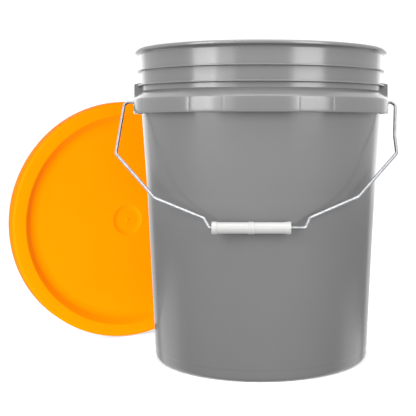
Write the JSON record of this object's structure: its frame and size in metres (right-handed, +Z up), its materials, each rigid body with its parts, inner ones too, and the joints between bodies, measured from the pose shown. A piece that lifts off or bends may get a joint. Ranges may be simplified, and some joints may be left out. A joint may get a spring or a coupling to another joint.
{
  "type": "plastic fermenting bucket",
  "caption": "Tall tapered plastic pail for fermenting, with a ribbed neck and collar, a wire bail with a moulded grip, and a round press-fit lid with a gasket standing beside it.",
  "frame": {"origin": "centre of the hub under the base, on the floor", "axes": "+Z up along the pail's axis, -Y to the front where the bail hangs, the bail's ears on the X axis, the lid behind on the -X side"},
  "size_m": [0.4785, 0.3273, 0.37],
  "materials": {
    "bucket_plastic": "smooth moulded grey polyethylene, half gloss",
    "lid_plastic": "smooth moulded orange polyethylene, satin",
    "bail_steel": "zinc-plated drawn wire",
    "grip_plastic": "smooth moulded white polyethylene",
    "gasket_rubber": "soft pale foamed ring"
  },
  "bodies": {
    "bucket": {"bucket": "bucket_plastic"},
    "bail": {"bail_wire": "bail_steel"},
    "grip": {"bail_grip": "grip_plastic"},
    "lid": {"lid": "lid_plastic", "lid_gasket": "gasket_rubber"}
  },
  "joints": [
    {"name": "bail_swing", "type": "hinge", "parent": "bucket", "child": "bail", "pos_m": [0, 0, 0.3095], "axis": [-1, 0, 0], "range_deg": [0, 210]},
    {"name": "grip_spin", "type": "hinge", "parent": "bail", "child": "grip", "pos_m": [-0.0102, -0.1445, 0.173], "axis": [1, 0, 0], "continuous": true},
    {"name": "lid_lift", "type": "slide", "parent": "bucket", "child": "lid", "axis": [-0.1812, 0.29, 0.9397], "range_m": [0, 0.42]}
  ]
}
